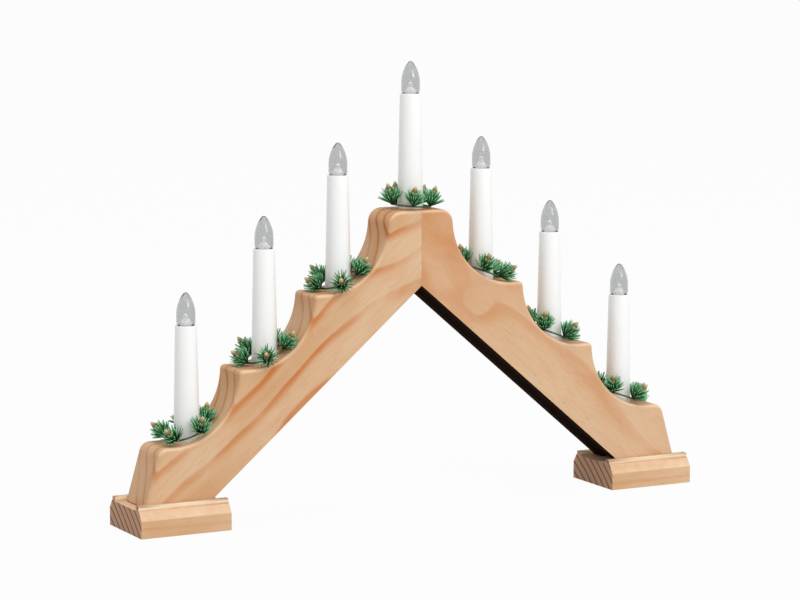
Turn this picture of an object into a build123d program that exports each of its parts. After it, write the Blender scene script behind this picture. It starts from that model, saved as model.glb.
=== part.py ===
from build123d import *
import os
from math import asin, atan2, cos, degrees, radians, sin, sqrt, tan

# A seven-light wooden candle arch. Two stepped legs are mitred at the top and stand on moulded
# feet. Each step carries an electric candle with a screw-in lamp and a loose wreath of sprigs.
# Millimetres, +Z up, floor at Z = 0, mitre at X = 0, the front towards -Y.

# Feet
arch_length = 400.0
foot_length = 61.0
foot_depth = 50.6
foot_height = 19.4
foot_side_height = 11.0
foot_bevel_height = 5.5
foot_bevel_run = 3.6
foot_lip_ledge = 0.9
foot_lip_round = 0.8

# Legs, with the steps listed from the top down. The lower steps share the run from the top step's
# end to the outer one in proportion to their runs here
leg_thickness = 32.0
leg_toe_margin = 7.5
leg_heel_margin = 7.85
leg_end_slant = 16.0
underside_peak = 144.6
land_heights = [193.0, 142.8, 98.6, 53.4]
top_step_end = 23.75
step_runs = [51.75, 53.0, 54.25]
least_flat = 1.25
corner_rounds = [9.0, 2.75, 2.75, 7.0]
cove_radius = 44.0
edge_round = 2.6
round_margin = 0.1
glue_line = 0.1

# Candle places, measured inwards from the outer end of each step below the top one, in proportion
# to its run
candle_setbacks = [23.5, 24.5, 24.75]

# Wiring channel in the undersides, and its cover strips
cover_width = 15.0
cover_thickness = 2.4
cover_recess = 0.6
cover_clearance = 0.2
groove_width = 10.4
groove_depth = 7.0
wire_hole_diameter = 6.6

# Candle sleeves
sleeve_height = 74.0
sleeve_base_diameter = 16.8
sleeve_top_diameter = 13.8
sleeve_rim_round = 0.4
sleeve_floor = 3.0
sleeve_wire_bore = 8.4
spigot_diameter = 9.0
spigot_length = 10.0
spot_face_clearance = 0.3
spigot_clearance = 0.1

# Lamp sockets and screw caps
socket_diameter = 10.8
socket_wall = 0.45
socket_floor = 1.2
socket_length = 14.0
socket_clearance = 0.1
cap_diameter = 9.4
cap_wall = 0.5
cap_length = 9.5
cap_flange = 0.6
contact_thickness = 1.6
contact_boss = 1.8
contact_tip_diameter = 3.0
contact_clearance = 0.3

# Lamp envelopes and the parts inside them, heights above the sleeve's rim
bulb_diameter = 12.0
bulb_height = 20.6
bulb_shoulder = 7.0
bulb_tip_radius = 2.0
bulb_wall = 0.8
bulb_neck_diameter = 10.4
bulb_neck_depth = 3.0
bulb_flare_height = 1.5
neck_clearance = 0.6
carrier_diameter = 7.2
carrier_step = 2.2
carrier_top_diameter = 5.1
carrier_top = 3.9
led_diameter = 3.0
led_height = 3.4

# Wreaths
wreath_wire = 1.2
wreath_gap = 3.6
wreath_rest_gap = 0.3
wreath_low_side = 2.0
wreath_clearance = 0.5
wreath_turns = [-73.0, -108.0, -108.0, -110.0, -113.0, -140.0, -140.0]
sprig_count = 5
sprig_elevation = 56.0
top_sprig_elevation = 72.0
sprig_gap = 0.05
sprig_base_diameter = 1.8
sprig_mouth_diameter = 10.4
sprig_mouth_height = 7.0
bud_base_diameter = 3.0
bud_diameter = 4.8
bud_length = 6.6
bud_swell = 2.2
bud_waist = 4.4
bud_waist_diameter = 3.2
bud_tip = 0.6

# Fastenings
dowel_diameter = 6.0
dowel_length = 36.0
dowel_spacing = 20.0
dowel_drop = 23.0
dowel_clearance = 0.1
screw_diameter = 3.5
screw_length = 32.0
screw_head = 7.0
screw_setback = 18.5
screw_spacing = 16.0
screw_sink = 1.0
screw_clearance = 0.15
screw_slot = 0.9

# Wires, and the bush where the supply cord comes in
wire_diameter = 1.6
wire_spacing = 3.2
return_offset = 3.9
wire_depth = 8.0
wire_bend = 2.5
wire_lead_bend = 6.0
return_bend = 44.0
inlet_setback = 26.0
inlet_clearance = 0.1
bush_diameter = 7.8
bush_bore = 5.2
bush_flange = 10.4
bush_flange_thickness = 1.6

# Worked-out places
foot_outer = arch_length / 2
foot_inner = foot_outer - foot_length
leg_end = foot_outer - leg_toe_margin
leg_heel = foot_inner + leg_heel_margin
slope = atan2(underside_peak - foot_height, leg_heel)
outer_step_end = leg_end - (land_heights[-1] - foot_height) * tan(radians(leg_end_slant))
run_scale = (outer_step_end - top_step_end) / sum(step_runs)
step_ends = [top_step_end + run_scale * sum(step_runs[:count]) for count in range(len(land_heights))]
half_places = [0.0] + [end - run_scale * back for end, back in zip(step_ends[1:], candle_setbacks)]
softening = min(edge_round, min(corner_rounds) - round_margin)
candle_places = [(-x, z) for x, z in zip(half_places[:0:-1], land_heights[:0:-1])]
candle_places += list(zip(half_places, land_heights))
rebate_depth = cover_thickness + cover_recess
channel_depth = rebate_depth + groove_depth
socket_seat = sleeve_height - bulb_neck_depth - neck_clearance - socket_length
parts_folder = "parts"


def underside_point(x, depth=0.0):
    """Point of the right leg's side view, a depth into the wood from its underside."""
    z = underside_peak - x * tan(slope) + depth / cos(slope)
    return (x, z)


def along_underside(run, depth=0.0):
    """Point a run down the right underside from the middle, square to it by a depth."""
    x = run * cos(slope) + depth * sin(slope)
    z = underside_peak - run * sin(slope) + depth * cos(slope)
    return (x, z)


def side_prism(points, width):
    """Prism across the arch, from points of its side view."""
    face = make_face(Polyline(*points, close=True))
    return extrude(Plane.XZ * face, width / 2, both=True)


def upright(x, y, diameter, low, high):
    """Upright cylinder between two heights."""
    rod = Cylinder(diameter / 2, high - low, align=(Align.CENTER, Align.CENTER, Align.MIN))
    return Pos(x, y, low) * rod


def turned(points):
    """Solid turned about Z from (radius, height) points."""
    face = make_face(Polyline(*points, close=True))
    return revolve(Plane.XZ * face, Axis.Z)


def arc_about(centre, radius, start, end):
    """Arc about a centre between two angles in degrees."""
    spots = []
    for angle in (start, (start + end) / 2, end):
        spots.append((centre[0] + radius * cos(radians(angle)), centre[1] + radius * sin(radians(angle))))
    return ThreePointArc(*spots)


def foot_screw_spots(side):
    """Places of the two screws up through a foot."""
    x = side * (leg_end - screw_setback)
    return [(x, -screw_spacing / 2), (x, screw_spacing / 2)]


def foot(side):
    """Moulded foot, the same section all along, with sunk holes for its two screws."""
    half = foot_depth / 2
    bevel_top = foot_side_height + foot_bevel_height
    bevel_in = half - foot_bevel_run
    lip = bevel_in - foot_lip_ledge
    outline = [(half, 0), (half, foot_side_height), (bevel_in, bevel_top)]
    outline += [(lip, bevel_top), (lip, foot_height)]
    outline += [(-y, z) for y, z in reversed(outline)]
    section = Plane.YZ * make_face(Polyline(*outline, close=True))
    body = Pos(foot_inner, 0, 0) * extrude(section, foot_length)
    top_edges = body.edges().filter_by(Axis.X).group_by(Axis.Z)[-1]
    body = fillet(top_edges, foot_lip_round)
    if side < 0:
        body = mirror(body, about=Plane.YZ)
    for x, y in foot_screw_spots(side):
        body -= screw_shape(x, y, screw_clearance, pocket=True)
    return body


def screw_shape(x, y, clearance=0.0, pocket=False):
    """Countersunk wood screw from below. As a pocket it is the hole that the screw sits in."""
    shank = screw_diameter / 2 + clearance
    head = screw_head / 2 + clearance
    low = 0.0 if pocket else screw_sink
    rim = screw_sink + screw_slot
    neck = rim + head - shank
    tip = screw_sink + screw_length + clearance
    outline = [(0, low), (head, low), (head, rim), (shank, neck), (shank, tip - screw_diameter), (0, tip)]
    return Pos(x, y, 0) * turned(outline)


def foot_screws():
    """Four screws with a slot across each head."""
    screws = []
    for side in (-1, 1):
        for x, y in foot_screw_spots(side):
            slot = Pos(x, y, screw_sink) * Box(screw_head, screw_slot, screw_slot * 2)
            screws.append(screw_shape(x, y) - slot)
    return screws


def cove_reach(step):
    """Level run of the hollow riser above a step, which leaves the step a flat beside its round."""
    drop = land_heights[step - 1] - land_heights[step]
    room = step_ends[step] - step_ends[step - 1] - corner_rounds[step] - least_flat
    return min(sqrt(2 * drop * cove_radius - drop ** 2), room)


def riser_radius(step):
    """Radius of the hollow riser above a step: the cove's, or less where the step is too short."""
    drop = land_heights[step - 1] - land_heights[step]
    return (cove_reach(step) ** 2 + drop ** 2) / (2 * drop)


def cove_centre(step):
    """Centre of the hollow riser that ends on a step's land, tangent to it."""
    return (step_ends[step - 1] + cove_reach(step), land_heights[step] + riser_radius(step))


def cove_rise(step, x):
    """Height of the hollow riser above its step's land."""
    radius = riser_radius(step)
    inward = max(cove_centre(step)[0] - x, 0.0)
    return radius - sqrt(radius ** 2 - inward ** 2)


def cove(step):
    """Hollow riser from the end of the step above, in the side view."""
    centre = cove_centre(step)
    start = atan2(land_heights[step - 1] - centre[1], step_ends[step - 1] - centre[0])
    return arc_about(centre, riser_radius(step), degrees(start) % 360, 270)


def leg_outline():
    """Side view of the right leg with the ends of its steps rounded."""
    corners = list(zip(step_ends, land_heights))
    start = underside_point(glue_line / 2)
    place = (glue_line / 2, land_heights[0])
    edges = [Line(start, place)]
    for step in range(1, len(corners)):
        edges += [Line(place, corners[step - 1]), cove(step)]
        place = (cove_centre(step)[0], land_heights[step])
    edges += [Polyline(place, corners[-1], (leg_end, foot_height), (leg_heel, foot_height), start)]
    face = make_face(edges)
    for corner, radius in zip(corners, corner_rounds):
        nearest = face.vertices().sort_by_distance((corner[0], corner[1], 0))[0]
        face = fillet(nearest, radius)
    return face


def leg(side):
    """Stepped leg with softened upper edges, bored and grooved for its candles and wires."""
    body = extrude(Plane.XZ * leg_outline(), leg_thickness / 2, both=True)
    upper = []
    for edge in body.edges():
        spot = edge.center()
        on_side = abs(abs(spot.Y) - leg_thickness / 2) < 0.01
        above = spot.Z > underside_point(spot.X)[1] + edge_round
        inside = glue_line < spot.X and spot.Z > foot_height + edge_round
        if on_side and above and inside:
            upper.append(edge)
    body = fillet(upper, softening)
    for x, z in zip(half_places, land_heights):
        body -= upright(x, 0, sleeve_base_diameter + 2 * spot_face_clearance, z, z + cove_radius)
        spigot_end = z - spigot_length - spigot_clearance
        body -= upright(x, 0, spigot_diameter + 2 * spigot_clearance, spigot_end, z)
        body -= upright(x, 0, wire_hole_diameter, max(underside_point(x)[1], 0), z)
    far = leg_end / cos(slope)
    near = -channel_depth
    rebate = [along_underside(near, -edge_round), along_underside(far, -edge_round)]
    rebate += [along_underside(far, rebate_depth), along_underside(near, rebate_depth)]
    groove = [along_underside(near), along_underside(far)]
    groove += [along_underside(far, channel_depth), along_underside(near, channel_depth)]
    body -= side_prism(rebate, cover_width + 2 * cover_clearance)
    body -= side_prism(groove, groove_width)
    for y in (-dowel_spacing / 2, dowel_spacing / 2):
        body -= dowel(y, dowel_clearance)
    if side < 0:
        body = mirror(body, about=Plane.YZ)
    for x, y in foot_screw_spots(side):
        body -= screw_shape(x, y, screw_clearance)
    if side > 0:
        body -= inlet_cylinder(bush_diameter + 2 * inlet_clearance, groove_width / 2, leg_thickness)
    return body


def dowel(y, clearance=0.0):
    """Dowel across the mitre."""
    length = dowel_length + 2 * clearance
    rod = Cylinder(dowel_diameter / 2 + clearance, length, rotation=(0, 90, 0))
    return Pos(0, y, land_heights[0] - dowel_drop) * rod


def mitre_dowels():
    """Two dowels, before and behind the top candle's hole."""
    return [dowel(-dowel_spacing / 2), dowel(dowel_spacing / 2)]


def channel_cover(side):
    """Strip that closes the wiring channel, from the mitre down to the foot."""
    inner = glue_line + cover_clearance
    low = foot_height + cover_clearance
    strip = []
    for depth in (cover_recess, rebate_depth):
        x_low = (underside_peak + depth / cos(slope) - low) / tan(slope)
        ends = [underside_point(inner, depth), (x_low, low)]
        strip += ends if depth == cover_recess else ends[::-1]
    body = side_prism(strip, cover_width)
    return body if side > 0 else mirror(body, about=Plane.YZ)


def inlet_point():
    """Middle of the cord inlet in the side view of the right leg."""
    run = leg_heel / cos(slope) - inlet_setback
    return along_underside(run, wire_depth)


def inlet_cylinder(diameter, start, end):
    """Cylinder along Y on the inlet's axis."""
    x, z = inlet_point()
    rod = upright(0, 0, diameter, 0, end - start)
    return Pos(x, start, z) * Rot(X=-90) * rod


def cord_inlet_bush():
    """Flanged bush in the back of the right leg, where the supply cord enters the channel."""
    back = leg_thickness / 2
    outside = back + bush_flange_thickness
    body = inlet_cylinder(bush_diameter, groove_width / 2, back)
    body += inlet_cylinder(bush_flange, back, outside)
    return body - inlet_cylinder(bush_bore, groove_width / 2, outside)


def swept_wire(points, radii):
    """Round wire along straight runs joined by tangent bends."""
    path = FilletPolyline(*points, radius=radii)
    section = Plane(origin=path @ 0, z_dir=path % 0) * Circle(wire_diameter / 2)
    return sweep(section, path=path)


def wiring():
    """Series leads from socket to socket, and the two ends that meet the supply cord."""
    side_y = wire_spacing / 2
    solder = [z + socket_seat for z in land_heights]
    steps = list(zip(half_places, solder))
    wires = []
    for turn in (0, 180):
        for (x_a, top_a), (x_b, top_b) in zip(steps, steps[1:]):
            low_a = underside_point(x_a, wire_depth)
            low_b = underside_point(x_b, wire_depth)
            points = [(x_a, side_y, top_a), (x_a, side_y, low_a[1])]
            points += [(x_b, -side_y, low_b[1]), (x_b, -side_y, top_b)]
            wires.append(Rot(Z=turn) * swept_wire(points, [wire_lead_bend, wire_bend]))
    x_end, top_end = steps[-1]
    low_end = underside_point(x_end, wire_depth)
    x_inlet, z_inlet = inlet_point()
    beside = x_inlet + bush_diameter
    end = underside_point(beside, wire_depth)
    points = [(x_end, side_y, top_end), (x_end, side_y, low_end[1]), (beside, side_y, end[1])]
    wires.append(swept_wire(points, [wire_bend]))
    middle = underside_point(0, wire_depth)
    joined = underside_point(half_places[-2], wire_depth)
    stop = underside_point(x_inlet - bush_diameter, wire_depth)
    points = [(-x_end, -side_y, top_end), (-x_end, -side_y, low_end[1])]
    points += [(-joined[0], -return_offset, joined[1]), (0, -return_offset, middle[1])]
    points += [(stop[0], -return_offset, stop[1])]
    wires.append(swept_wire(points, [wire_bend, return_bend, wire_lead_bend]))
    return wires


def lamp_sockets():
    """Seven screw sockets, one seated inside each sleeve."""
    radius = socket_diameter / 2
    inner = radius - socket_wall
    shell = [(0, 0), (radius, 0), (radius, socket_length), (inner, socket_length)]
    shell += [(inner, socket_floor), (0, socket_floor)]
    return [Pos(x, 0, z + socket_seat) * turned(shell) for x, z in candle_places]


def candle_sleeve():
    """Tapered sleeve with a spigot below and a stepped bore, standing on Z = 0."""
    wire_radius = wire_hole_diameter / 2
    bore = sleeve_wire_bore / 2
    seat = socket_diameter / 2 + socket_clearance
    neck = bulb_neck_diameter / 2 + neck_clearance
    neck_floor = socket_seat + socket_length
    spigot = spigot_diameter / 2
    outline = [(wire_radius, -spigot_length), (spigot, -spigot_length), (spigot, 0)]
    outline += [(sleeve_base_diameter / 2, 0), (sleeve_top_diameter / 2, sleeve_height)]
    outline += [(neck, sleeve_height), (neck, neck_floor), (seat, neck_floor)]
    outline += [(seat, socket_seat), (bore, socket_seat)]
    outline += [(bore, sleeve_floor), (wire_radius, sleeve_floor)]
    body = turned(outline)
    rim = body.edges().filter_by(GeomType.CIRCLE).group_by(Axis.Z)[-1]
    return fillet(rim, sleeve_rim_round)


def envelope_curve(inset):
    """Outer line of the pointed lamp, or a line inside it by an inset."""
    radius = bulb_diameter / 2
    tip_centre = bulb_height - bulb_tip_radius
    rise = tip_centre - bulb_shoulder
    swing = (rise ** 2 + radius ** 2 - bulb_tip_radius ** 2) / (2 * (radius - bulb_tip_radius))
    meet = degrees(asin(rise / (swing - bulb_tip_radius)))
    neck = bulb_neck_diameter / 2 - inset
    side = [(neck, -bulb_neck_depth), (neck, 0)]
    side += [(radius - inset, bulb_flare_height), (radius - inset, bulb_shoulder)]
    flank = arc_about((radius - swing, bulb_shoulder), swing - inset, 0, meet)
    tip = arc_about((0, tip_centre), bulb_tip_radius - inset, meet, 90)
    return [Polyline(*side), flank, tip]


def bulb_envelope():
    """Clear pointed shell, open below, with Z = 0 at the sleeve's rim."""
    outer = envelope_curve(0)
    inner = envelope_curve(bulb_wall)
    neck = bulb_neck_diameter / 2
    foot_line = Line((neck - bulb_wall, -bulb_neck_depth), (neck, -bulb_neck_depth))
    tip_line = Line((0, bulb_height - bulb_wall), (0, bulb_height))
    face = make_face(outer + inner + [foot_line, tip_line])
    return revolve(Plane.XZ * face, Axis.Z)


def led_carrier():
    """Stepped post inside the lamp and the small light-emitting dome on top of it."""
    wide = carrier_diameter / 2
    narrow = carrier_top_diameter / 2
    dome = led_diameter / 2
    post = [(0, -bulb_neck_depth), (wide, -bulb_neck_depth), (wide, carrier_step)]
    post += [(narrow, carrier_step), (narrow, carrier_top), (0, carrier_top)]
    led_shoulder = carrier_top + led_height - dome
    sides = Polyline((0, led_shoulder + dome), (0, carrier_top), (dome, carrier_top), (dome, led_shoulder))
    face = make_face([sides, arc_about((0, led_shoulder), dome, 0, 90)])
    return [turned(post), revolve(Plane.XZ * face, Axis.Z)]


def bulb_cap():
    """Screw cap under the lamp, open below, with a flange that carries the envelope."""
    radius = cap_diameter / 2
    inner = radius - cap_wall
    top = -bulb_neck_depth
    flange = bulb_neck_diameter / 2
    outline = [(0, top), (flange, top), (flange, top - cap_flange), (radius, top - cap_flange)]
    outline += [(radius, top - cap_length), (inner, top - cap_length)]
    outline += [(inner, top - cap_flange), (0, top - cap_flange)]
    return turned(outline)


def bulb_contact():
    """Insulating disc in the cap's mouth with the centre contact below it."""
    radius = cap_diameter / 2 - cap_wall - contact_clearance
    tip = contact_tip_diameter / 2
    low = -bulb_neck_depth - cap_length
    outline = [(0, low + contact_thickness), (radius, low + contact_thickness), (radius, low)]
    outline += [(tip, low - contact_boss), (0, low - contact_boss)]
    return turned(outline)


ring_radius = sleeve_base_diameter / 2 + wreath_gap + wreath_wire / 2


def sprig():
    """Cup-shaped sprig, along +Z from the wreath's wire."""
    start = wreath_wire / 2 + sprig_gap
    outline = [(0, start), (sprig_base_diameter / 2, start)]
    outline += [(sprig_mouth_diameter / 2, sprig_mouth_height), (0, sprig_mouth_height)]
    return turned(outline)


def bud():
    """Pointed bud in the mouth of a sprig, along +Z."""
    outline = [(0, 0), (bud_base_diameter / 2, 0), (bud_diameter / 2, bud_swell)]
    outline += [(bud_waist_diameter / 2, bud_waist), (bud_tip / 2, bud_length), (0, bud_length)]
    return Pos(0, 0, sprig_mouth_height) * turned(outline)


def wreath_seat(index):
    """Place of a wreath's ring, which leans on the riser beside its candle."""
    x, z = candle_places[index]
    if x == 0:
        return Pos(x, 0, z + wreath_wire / 2 + wreath_rest_gap)
    step = land_heights.index(z)
    high_side = cove_rise(step, abs(x) - ring_radius) + wreath_wire / 2 + wreath_clearance
    lean = degrees(asin((high_side - wreath_low_side) / (2 * ring_radius)))
    return Pos(x, 0, z + (high_side + wreath_low_side) / 2) * Rot(Y=lean * x / abs(x))


def sprig_seats(index):
    """Places of a wreath's sprigs round its ring."""
    elevation = sprig_elevation if candle_places[index][0] else top_sprig_elevation
    seats = []
    for number in range(sprig_count):
        yaw = wreath_turns[index] + number * 360 / sprig_count
        seats.append(wreath_seat(index) * Rot(Z=yaw) * Pos(ring_radius, 0, 0) * Rot(Y=90 - elevation))
    return seats


def save(name, solids):
    """Write one named piece, or a group of like pieces, as a STEP file."""
    shape = Compound(children=list(solids)) if isinstance(solids, list) else solids
    export_step(shape, os.path.join(parts_folder, name + ".step"))


def main():
    os.makedirs(parts_folder, exist_ok=True)
    for side, word in ((-1, "left"), (1, "right")):
        save(word + "_foot", foot(side))
        save(word + "_leg", leg(side))
        save(word + "_channel_cover", channel_cover(side))
    save("foot_screws", foot_screws())
    save("mitre_dowels", mitre_dowels())
    save("wiring", wiring())
    save("cord_inlet_bush", cord_inlet_bush())
    save("lamp_sockets", lamp_sockets())
    sleeve = candle_sleeve()
    envelope = bulb_envelope()
    carrier = led_carrier()
    cap = bulb_cap()
    contact = bulb_contact()
    sprig_shape = sprig()
    bud_shape = bud()
    ring = Torus(ring_radius, wreath_wire / 2)
    for index, (x, z) in enumerate(candle_places):
        number = "_" + str(index + 1)
        rim = Pos(x, 0, z + sleeve_height)
        save("candle_sleeve" + number, Pos(x, 0, z) * sleeve)
        save("bulb_envelope" + number, rim * envelope)
        save("led_carrier" + number, [rim * piece for piece in carrier])
        save("bulb_cap" + number, rim * cap)
        save("bulb_contact" + number, rim * contact)
        seats = sprig_seats(index)
        save("wreath" + number, [wreath_seat(index) * ring] + [seat * sprig_shape for seat in seats])
        save("wreath_buds" + number, [seat * bud_shape for seat in seats])


main()
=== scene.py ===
from math import asin, atan2, cos, pi, radians, sin, sqrt, tan, tau

import bmesh
import bpy
from bpy.props import FloatProperty, FloatVectorProperty, IntProperty, PointerProperty
from mathutils import Matrix, Vector


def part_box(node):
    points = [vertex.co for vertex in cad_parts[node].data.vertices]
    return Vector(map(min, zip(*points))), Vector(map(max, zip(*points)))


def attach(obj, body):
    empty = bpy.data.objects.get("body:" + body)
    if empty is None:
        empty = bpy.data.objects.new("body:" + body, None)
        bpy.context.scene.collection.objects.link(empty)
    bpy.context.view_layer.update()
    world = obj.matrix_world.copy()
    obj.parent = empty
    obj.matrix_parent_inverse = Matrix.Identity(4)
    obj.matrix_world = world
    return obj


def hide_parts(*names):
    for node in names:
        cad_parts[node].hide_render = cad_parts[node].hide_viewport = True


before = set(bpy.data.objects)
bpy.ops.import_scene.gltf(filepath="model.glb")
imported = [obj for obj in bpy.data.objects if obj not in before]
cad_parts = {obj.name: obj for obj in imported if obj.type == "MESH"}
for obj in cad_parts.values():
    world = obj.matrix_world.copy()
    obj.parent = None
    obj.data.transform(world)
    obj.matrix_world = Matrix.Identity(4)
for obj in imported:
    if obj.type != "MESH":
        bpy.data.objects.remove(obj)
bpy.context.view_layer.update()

bl_info = {
    "name": "Seven-light candle arch",
    "version": (1, 0, 0),
    "blender": (4, 5, 0),
    "location": "3D View > Sidebar > Candle Arch",
    "description": "Gives the candle arch its wood, candles, lamps and wreaths",
    "category": "Object",
}

MM = 0.001
CANDLES = range(1, 8)
SIDES = {"left": -1, "right": 1}

# The sleeves' spigots, the steps and the coves behind the wreaths, as the CAD model has them
SPIGOT_LENGTH = 10.0 * MM
COVE_RADIUS = 44.0 * MM
STEP_ENDS = [23.75 * MM, 75.5 * MM, 128.5 * MM]
LEG_SLOPE = atan2(144.6 - 19.4, 200.0 - 61.0 + 7.85)
UNDERSIDE_LINE = 144.6 * cos(LEG_SLOPE)
REBATE_DEPTH = 3.0
REBATE_HALF = 7.7
TOE_SLANT = radians(16.0)

# The groove in a foot that its leg stands in, which the scene alone has
GROOVE_DEPTH = 3.0 * MM
GROOVE_HALF = 16.4 * MM
SEAT_GAP = 0.6 * MM

PINE_COAT = 0.14


def srgb(red, green, blue):
    """A colour as a scene-linear triple, from the 0 to 255 numbers that a screen shows."""
    shown = (red / 255, green / 255, blue / 255)
    return tuple(c / 12.92 if c <= 0.04045 else ((c + 0.055) / 1.055) ** 2.4 for c in shown)


def rgba(colour):
    """A linear colour triple with full alpha."""
    return (*colour, 1.0)


def candle_place(number):
    """Axis X, land height, base radius and rim height of a candle's sleeve."""
    low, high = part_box(f"candle_sleeve_{number}")
    return (low.x + high.x) / 2, low.z + SPIGOT_LENGTH, (high.x - low.x) / 2, high.z


# Sizes and colours that a user may change


def length_property(name, description, default):
    """A length in metres with its name and description."""
    return FloatProperty(name=name, description=description, default=default, unit="LENGTH", precision=5)


def angle_property(name, description, default):
    """An angle, given here in degrees."""
    return FloatProperty(name=name, description=description, default=radians(default), unit="ROTATION")


def colour_property(name, description, default):
    """A linear colour triple."""
    return FloatVectorProperty(name=name, description=description, default=default, subtype="COLOR",
                               size=3, min=0.0, max=1.0)


class WoodSettings(bpy.types.PropertyGroup):
    """Colours and figure of the pine."""

    pale: colour_property("Pale wood", "Early wood of the legs and feet", srgb(221, 187, 152))
    tan: colour_property("Tan wood", "Warm clouds in the early wood", srgb(207, 160, 116))
    late: colour_property("Late wood", "Dark side of a growth ring", srgb(198, 114, 50))
    end: colour_property("End rings", "Rings where the grain is cut across", srgb(96, 60, 40))
    end_pale: colour_property("End grain", "Wood between the rings on the risers", srgb(208, 149, 110))
    foot_end: colour_property("Foot end grain", "Wood between rings on the feet's ends", srgb(192, 154, 128))
    warm: colour_property("Warm wood", "Orange patches near the mitre", srgb(203, 139, 90))
    # Colour of the painted highlights on the legs' upward rounded edges and on the feet's bevels and lips
    edge_highlight: colour_property("Wear", "Pale rubbed edges of the feet", srgb(246, 222, 192))
    # Dark colour laid on the legs' slanted undersides and rebates
    underside_dark: colour_property("Underside", "Dark stain under the legs", srgb(44, 32, 26))
    ring_width: length_property("Ring width", "Spacing of the growth rings in the legs", 9.5 * MM)
    foot_ring_width: length_property("Foot ring width", "Spacing of the rings in the feet", 5.5 * MM)


class CandleSettings(bpy.types.PropertyGroup):
    """The white sleeves."""

    white: colour_property("Candle white", "Moulded sleeve", srgb(247, 247, 246))
    rim_round: length_property("Rim round", "Rounding of the sleeve's edges", 0.5 * MM)


class LampSettings(bpy.types.PropertyGroup):
    """The clear lamps and their screw caps."""

    # The grey that the clear envelope gives what is seen through it is painted shade, standing in for grey
    # surroundings seen through the lamp
    see_through_colour: colour_property("Lamp tint", "Grey tint of the clear envelope", srgb(186, 187, 188))
    carrier: colour_property("Carrier", "White post inside the lamp", srgb(240, 240, 238))
    wall: length_property("Wall", "Thickness of the envelope", 0.8 * MM)
    thread_pitch: length_property("Thread pitch", "Rise of the cap's thread in one turn", 1.814 * MM)


class WreathSettings(bpy.types.PropertyGroup):
    """The needle wreaths and their buds."""

    # The needles' dark root colour is painted shade of the inside of a sprig's cup
    needle_root_shade: colour_property("Needle root", "Colour where a needle starts", srgb(8, 36, 18))
    needle_light: colour_property("Needle tip", "Colour of a needle's end", srgb(170, 230, 180))
    bud_brown: colour_property("Bud brown", "Lower scales of a bud", srgb(54, 38, 18))
    bud_cream: colour_property("Bud cream", "Pointed end of a bud", srgb(230, 214, 160))
    sprigs: IntProperty(name="Sprigs", description="Sprigs round a wreath", default=5, min=3, max=8)
    whorls: IntProperty(name="Whorls", description="Rings of needles on a sprig", default=3, min=1, max=5)
    needles: IntProperty(name="Needles", description="Needles in a whorl", default=19, min=6, max=40)
    needle_length: length_property("Needle length", "From root to tip", 10.2 * MM)
    needle_width: length_property("Needle width", "Across a needle's root", 1.35 * MM)
    wire: length_property("Wire", "Thickness of the ring's wire", 1.2 * MM)


class StageSettings(bpy.types.PropertyGroup):
    """Camera, floor and lights."""

    place: FloatVectorProperty(name="Camera place", description="Where the camera stands", size=3,
                               default=(-0.946288, -1.792868, 0.412895), subtype="TRANSLATION", precision=5)
    azimuth: angle_property("Azimuth", "Turn of the camera about the arch", -27.641)
    elevation: angle_property("Elevation", "How far the camera looks down", 7.852)
    roll: angle_property("Roll", "Turn of the picture", 0.086)
    lens: FloatProperty(name="Lens", description="Focal length in millimetres", default=142.55)
    key_power: FloatProperty(name="Key light", description="Power of the light at the right", default=65.0,
                             unit="POWER")
    top_power: FloatProperty(name="Top light", description="Power of the light above", default=8.0,
                             unit="POWER")
    surround: FloatProperty(name="Surround", description="Strength of the light from all round", default=0.68)


class ArchSettings(bpy.types.PropertyGroup):
    """All settings of the candle arch."""

    wood: PointerProperty(name="Wood", description="Colours and figure of the pine", type=WoodSettings)
    candles: PointerProperty(name="Candles", description="The white sleeves", type=CandleSettings)
    lamps: PointerProperty(name="Lamps", description="The clear lamps", type=LampSettings)
    wreaths: PointerProperty(name="Wreaths", description="The needle wreaths", type=WreathSettings)
    stage: PointerProperty(name="Stage", description="Camera, floor and lights", type=StageSettings)


# Short ways to put nodes in a tree


def put(tree, kind, values=None, **settings):
    """A new node of that kind, with each named input wired to a socket or set to a value."""
    node = tree.nodes.new(kind)
    for name, value in settings.items():
        setattr(node, name, value)
    for key, value in (values or {}).items():
        if isinstance(value, bpy.types.NodeSocket):
            tree.links.new(value, node.inputs[key])
        else:
            node.inputs[key].default_value = value
    return node


def calc(tree, operation, first, second=0.0, third=0.0):
    """The result of a Math node."""
    return put(tree, "ShaderNodeMath", {0: first, 1: second, 2: third}, operation=operation).outputs[0]


def times(tree, first, second):
    """The product of two numbers."""
    return calc(tree, "MULTIPLY", first, second)


def vector_of(tree, **parts):
    """A vector from its named parts, with 0 for the others."""
    return put(tree, "ShaderNodeCombineXYZ", parts).outputs[0]


def split(tree, vector):
    """The X, Y and Z of a vector."""
    return put(tree, "ShaderNodeSeparateXYZ", {0: vector}).outputs


def vector_calc(tree, operation, first, second=(0.0, 0.0, 0.0)):
    """The vector result of a Vector Math node."""
    return put(tree, "ShaderNodeVectorMath", {0: first, 1: second}, operation=operation).outputs["Vector"]


def vector_value(tree, operation, first, second=(0.0, 0.0, 0.0)):
    """The plain number that a Vector Math node gives, as a length or a dot product."""
    return put(tree, "ShaderNodeVectorMath", {0: first, 1: second}, operation=operation).outputs["Value"]


def mixed(tree, factor, first, second, blend_type="MIX"):
    """A colour between two colours."""
    values = {0: factor, 6: first, 7: second}
    return put(tree, "ShaderNodeMix", values, data_type="RGBA", blend_type=blend_type).outputs[2]


def smooth_step(tree, value, start, end):
    """A value that rises smoothly from 0 at start to 1 at end."""
    values = {"Value": value, "From Min": start, "From Max": end}
    return put(tree, "ShaderNodeMapRange", values, interpolation_type="SMOOTHSTEP").outputs["Result"]


def noise(tree, vector, scale, detail=2.0, roughness=0.5):
    """A soft noise from 0 to 1."""
    values = {"Vector": vector, "Scale": scale, "Detail": detail, "Roughness": roughness}
    return put(tree, "ShaderNodeTexNoise", values)


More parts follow.
